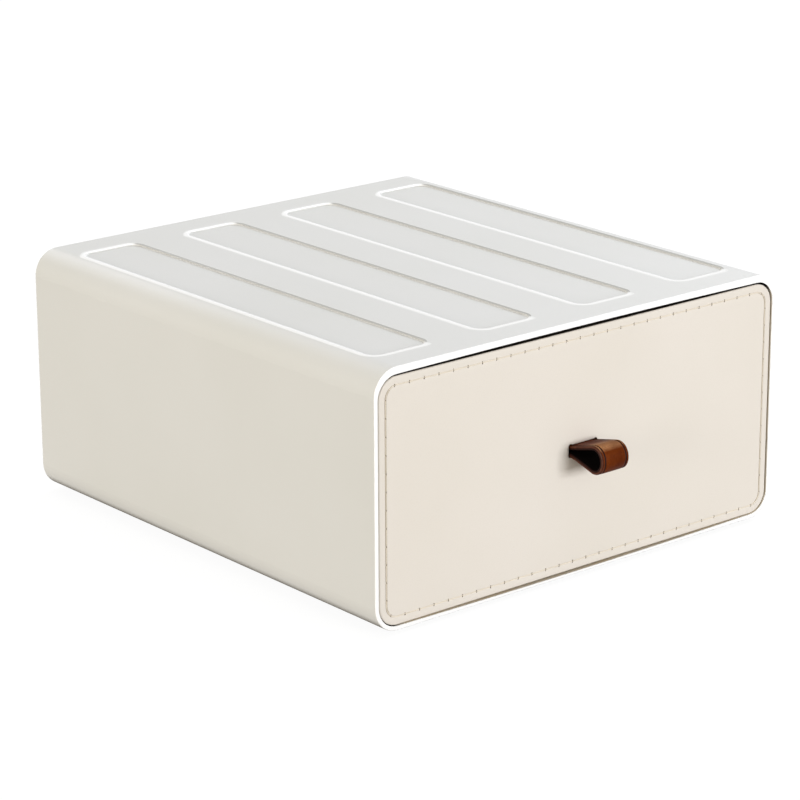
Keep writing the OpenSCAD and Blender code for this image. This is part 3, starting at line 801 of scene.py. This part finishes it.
def strap_line(reach, web_back):
    """The middle of the strap's thickness from one tail round the nose to the other: how far each
    point lies behind the face, and how far above the slot's middle, in millimetres."""
    half_t = STRAP_T / 2
    pass_l = web_back - BEND_R
    nose_r = LOOP_R - half_t
    nose_back = -(reach - LOOP_R)
    rise = STRAND_HALF - half_t
    lean = math.asin(nose_r / math.hypot(rise, nose_back)) - math.atan2(rise, -nose_back)
    tail = STRAND_HALF + BEND_R
    upper = [(web_back + half_t, tail + TAIL_L), (web_back + half_t, tail)]
    for step in range(1, BEND_STEPS + 1):
        angle = -math.pi / 2 * step / BEND_STEPS
        upper.append((pass_l + (BEND_R + half_t) * math.cos(angle),
                      tail + (BEND_R + half_t) * math.sin(angle)))
    upper.append((0.0, rise))
    upper.append((nose_back + nose_r * math.sin(lean), nose_r * math.cos(lean)))
    nose = []
    first = math.pi / 2 - lean
    for step in range(1, NOSE_STEPS):
        angle = first + (2 * math.pi - 2 * first) * step / NOSE_STEPS
        nose.append((nose_back + nose_r * math.cos(angle), nose_r * math.sin(angle)))
    corners = upper + nose + [(back, -height) for back, height in reversed(upper)]
    line = []
    for here, there in zip(corners, corners[1:]):
        start, end = Vector(here), Vector(there)
        steps = max(1, round((end - start).length / STRAP_STEP))
        line += [start.lerp(end, step / steps) for step in range(steps)]
    line.append(Vector(corners[-1]))
    for _ in range(LINE_PASSES):
        inner = [(line[i - 1] + 2 * line[i] + line[i + 1]) / 4 for i in range(1, len(line) - 1)]
        line = [line[0]] + inner + [line[-1]]
    return line


def strap_outline(width):
    """The strap's section across its width: across, lift from the middle of its thickness, and the
    finish of the face that follows."""
    half_w, half_t = width / 2, STRAP_T / 2
    edge = [
        (0.45, -half_t, CREASE), (0.12, -half_t + 0.12, CREASE), (0.0, -half_t + 0.4, CREASE),
        (0.0, -0.2, CREASE), (0.12, -0.1, EDGE), (0.0, 0.0, EDGE), (0.0, half_t - 0.65, EDGE),
        (0.1, half_t - 0.3, EDGE), (0.3, half_t - 0.09, CREASE), (0.6, half_t, OUTSIDE),
    ]
    slope = half_t - CREASE_DEPTH * 0.75
    crease = [
        (CREASE_INSET - CREASE_HALF, half_t, CREASE),
        (CREASE_INSET - CREASE_HALF / 2, slope, CREASE),
        (CREASE_INSET, half_t - CREASE_DEPTH, CREASE),
        (CREASE_INSET + CREASE_HALF / 2, slope, CREASE),
        (CREASE_INSET + CREASE_HALF, half_t, OUTSIDE),
    ]
    field = [(CREASE_INSET + 1.2, half_t + 0.05, OUTSIDE), (half_w * 0.6, half_t + 0.08, OUTSIDE)]
    left = [(inset - half_w, lift, finish) for inset, lift, finish in edge + crease + field]
    right = []
    for k in range(len(left) - 1, -1, -1):
        across, lift = left[k][:2]
        right.append((-across, lift, left[k - 1][2] if k > 0 else LINING))
    inside = [(half_w * share, -half_t, LINING) for share in (0.6, 0.3, 0, -0.3, -0.6)]
    return left + [(0.0, half_t + 0.09, OUTSIDE)] + right + inside


def pull_strap(facing, finishes):
    """The pull: one strip of lined leather, folded round its nose, with both tails behind the
    board."""
    low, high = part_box("pull_strap")
    width = (high.x - low.x) / MM
    reach = (facing.face_y - low.y) / MM
    web_back = (high.y - facing.face_y) / MM - STRAP_T
    line = strap_line(reach, web_back)
    outline = strap_outline(width)
    bm = bmesh.new()
    rings = []
    for i, here in enumerate(line):
        ahead = (line[min(i + 1, len(line) - 1)] - line[max(i - 1, 0)]).normalized()
        outward = Vector((ahead.y, -ahead.x))
        points = []
        for across, lift, finish in outline:
            place = here + outward * lift
            right = 0.5 + across / width
            forward = smooth(-place.x / reach)
            top = smooth(0.5 + place.y / (2 * LOOP_R))
            drop = forward * (STRAP_SLUMP * right * top + STRAP_SAG * (1 - top))
            points.append(Vector((
                (low.x + high.x) / 2 + (across + STRAP_LEAN * forward) * MM,
                facing.face_y + place.x * MM,
                facing.pull_z + (place.y - drop) * MM)))
        rings.append(ring(bm, points))
    for first, second in zip(rings, rings[1:]):
        band(bm, first, second, lambda k: outline[k][2])
    for end in (rings[0], rings[-1]):
        bm.faces.new(end).material_index = EDGE
    made = piece("pull_strap_leather", bm, finishes, "drawer", sharp=50)
    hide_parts("pull_strap")
    return made


# ---- Dress the frame ----

def dress():
    """Gives every CAD node its finish, and builds the leather, the thread and the pull."""
    # the last five tints: a painted highlight on the rim and lips, and painted shade inside the
    # mouth, near black in two of its corners, on the recesses' right walls and along the lower edge
    case_white = case_plastic(
        light=tint(221, 221, 219), shade=tint(218, 218, 215), highlight_tint=tint(255, 255, 254),
        mouth_shade_tint=tint(226, 204, 164), gap_shade=tint(20, 16, 13), wall_shade_tint=tint(136, 135, 130),
        low_edge_shade_tint=tint(74, 58, 32))
    tray_white = moulded_plastic("tray_white", tint(226, 226, 224), tint(222, 222, 219), 0.42)
    board_grey = moulded_plastic("board_grey", tint(168, 166, 161), tint(158, 156, 151), 0.55, 0.03)
    rubber = foot_rubber()
    finishes = {
        "case_shell": case_white, "rear_panel": case_white, "drawer_tray": tray_white,
        "front_board": board_grey,
        "strap_clamp_plate": zinc_plate("zinc_sheet", 260.0),
        "strap_screws": zinc_plate("zinc_screw", 700.0),
    }
    finishes["front_screws"] = finishes["strap_screws"]
    for name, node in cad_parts.items():
        if name.startswith("foot_pad"):
            finishes[name] = rubber
        if name in finishes:
            node.material_slots[0].material = finishes[name]
    facing = Facing()
    leather = leather_facing(facing, cream_leather(), needle_hole(), painted_skirt_shade(), painted_seam_shade())
    thread = facing_thread(facing, waxed_thread())
    foam_pad(facing, closed_foam())
    pull_strap(facing, [waxed_leather(), burnished_edge(), pressed_crease(), suede_lining()])


# ---- Studio ----

def seen_directly(wiring):
    """1 for rays from the camera, in a reflection or through glass, and 0 for the light on the
    object."""
    path = wiring.node("ShaderNodeLightPath").outputs
    return wiring.math("MAXIMUM", path["Is Camera Ray"],
                       wiring.math("MAXIMUM", path["Is Glossy Ray"], path["Is Transmission Ray"]))


def studio_world(level, colour):
    """Even light of some level and colour, which looks white itself."""
    world = bpy.data.worlds.new("studio")
    bpy.context.scene.world = world
    world.use_nodes = True
    wiring = Wiring(world.node_tree)
    background = world.node_tree.nodes["Background"]
    share = seen_directly(wiring)
    wiring.put(background.inputs["Color"], wiring.mix(share, colour, (1.0, 1.0, 1.0, 1.0)))
    strength = wiring.math("MULTIPLY_ADD", share, 1.0 - level, level)
    wiring.put(background.inputs["Strength"], strength)


def studio_floor():
    """A pale floor that looks white, and keeps a faint shadow."""
    bm = bmesh.new()
    bmesh.ops.create_grid(bm, x_segments=1, y_segments=1, size=FLOOR_REACH)
    mesh = bpy.data.meshes.new("floor")
    bm.to_mesh(mesh)
    bm.free()
    floor = bpy.data.objects.new("floor", mesh)
    floor.location.z = -FLOOR_DROP * MM
    bpy.context.scene.collection.objects.link(floor)
    material = bpy.data.materials.new("pale_floor")
    material.use_nodes = True
    tree = material.node_tree
    tree.nodes.clear()
    wiring = Wiring(tree)
    bounce = wiring.node("ShaderNodeBsdfDiffuse", {"Color": FLOOR_BOUNCE})
    shade = wiring.node("ShaderNodeBsdfDiffuse", {"Color": FLOOR_SHADE})
    glow = wiring.node(
        "ShaderNodeEmission", {"Color": (1.0, 1.0, 1.0, 1.0), "Strength": FLOOR_GLOW})
    look = wiring.node("ShaderNodeAddShader")
    wiring.put(look.inputs[0], glow.outputs[0])
    wiring.put(look.inputs[1], shade.outputs[0])
    choice = wiring.node("ShaderNodeMixShader")
    wiring.put(choice.inputs[0], seen_directly(wiring))
    wiring.put(choice.inputs[1], bounce.outputs[0])
    wiring.put(choice.inputs[2], look.outputs[0])
    out = wiring.node("ShaderNodeOutputMaterial")
    wiring.put(out.inputs["Surface"], choice.outputs[0])
    mesh.materials.append(material)


def softbox(name, azimuth, elevation, distance, size, level, colour):
    """A soft lamp that looks at the box. Azimuth 0 is in front of the drawer and 90 to its right.
    Level is how bright it makes a white card that faces it at the box."""
    lamp = bpy.data.lights.new(name, "AREA")
    lamp.shape = "RECTANGLE"
    lamp.size, lamp.size_y = size
    lamp.energy = level * math.pi ** 2 * distance ** 2
    lamp.color = colour
    made = bpy.data.objects.new(name, lamp)
    turn, tilt = math.radians(azimuth), math.radians(elevation)
    flat = math.cos(tilt)
    way = Vector((math.sin(turn) * flat, -math.cos(turn) * flat, math.sin(tilt)))
    made.location = Vector(LAMPS_AIM) + way * distance
    made.rotation_euler = way.to_track_quat("Z", "Y").to_euler()
    bpy.context.scene.collection.objects.link(made)


def studio_camera():
    """The camera that shows the box from its front left."""
    data = bpy.data.cameras.new("camera")
    data.lens = CAMERA_LENS
    data.sensor_width = 36.0
    camera = bpy.data.objects.new("camera", data)
    turn, drop, roll = (math.radians(angle) for angle in (CAMERA_TURN, CAMERA_DROP, CAMERA_ROLL))
    flat = math.cos(drop)
    look = Vector((math.sin(turn) * flat, math.cos(turn) * flat, -math.sin(drop)))
    level = Vector((math.cos(turn), -math.sin(turn), 0.0))
    upright = level.cross(look)
    right = level * math.cos(roll) + upright * math.sin(roll)
    up = upright * math.cos(roll) - level * math.sin(roll)
    turned = Matrix((right, up, -look)).transposed().to_4x4()
    camera.matrix_world = Matrix.Translation(CAMERA_PLACE) @ turned
    bpy.context.scene.collection.objects.link(camera)
    bpy.context.scene.camera = camera


def studio():
    """The camera, the white surroundings, the floor and the lamps."""
    studio_camera()
    studio_world(WORLD_LEVEL, WORLD_COLOUR)
    studio_floor()
    for lamp in LAMPS:
        softbox(*lamp)
    bpy.context.scene.view_settings.view_transform = "Standard"


studio()
dress()
